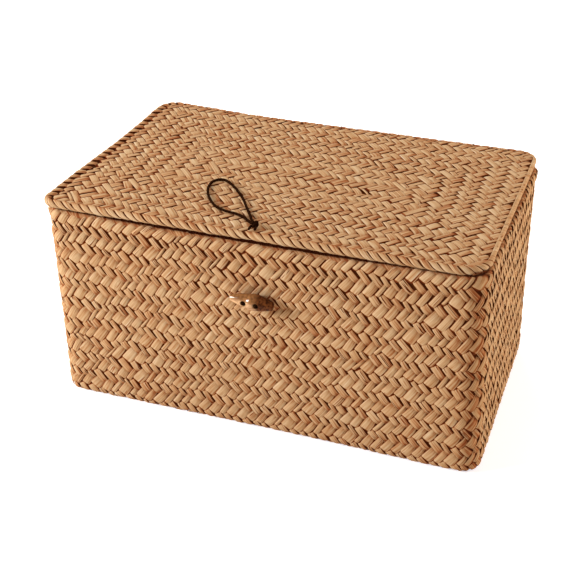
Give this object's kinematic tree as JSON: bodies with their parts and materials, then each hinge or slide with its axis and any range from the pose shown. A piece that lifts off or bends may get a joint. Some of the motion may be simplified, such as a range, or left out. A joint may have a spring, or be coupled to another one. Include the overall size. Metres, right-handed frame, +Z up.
{
  "type": "plaited lidded storage box",
  "caption": "Rectangular storage box plaited from flat leaf strips, with a hinged plaited lid that closes by a cord loop over a wooden toggle.",
  "frame": {"origin": "middle of the flat underside of the base", "axes": "+X along the box's length, +Y from the toggle's wall to the hinged wall, +Z up"},
  "size_m": [0.3458, 0.2294, 0.1841],
  "materials": {
    "plaited_leaf": "dry plaited leaf strips, matt with a faint sheen along the fibres",
    "cord": "waxed dark brown cord",
    "toggle_wood": "polished turned wood"
  },
  "bodies": {
    "box": {"body_outer_plait": "plaited_leaf", "body_inner_plait": "plaited_leaf", "body_rim_fold": "plaited_leaf", "toggle_button": "toggle_wood", "toggle_cord": "cord", "hinge_tie_left": "cord", "hinge_tie_middle": "cord", "hinge_tie_right": "cord"},
    "lid": {"lid_top_plait": "plaited_leaf", "lid_under_plait": "plaited_leaf", "lid_edge_fold": "plaited_leaf", "loop_knot": "cord"},
    "loop": {"closure_loop": "cord"}
  },
  "joints": [
    {"name": "lid_hinge", "type": "hinge", "parent": "box", "child": "lid", "pos_m": [0, 0.10675, 0.17215], "axis": [-1, 0, 0], "range_deg": [0, 180]},
    {"name": "loop_swing", "type": "hinge", "parent": "lid", "child": "loop", "pos_m": [-0.0016, -0.09775, 0.1819], "axis": [0.9312, 0.3645, 0], "range_deg": [0, 150]}
  ]
}
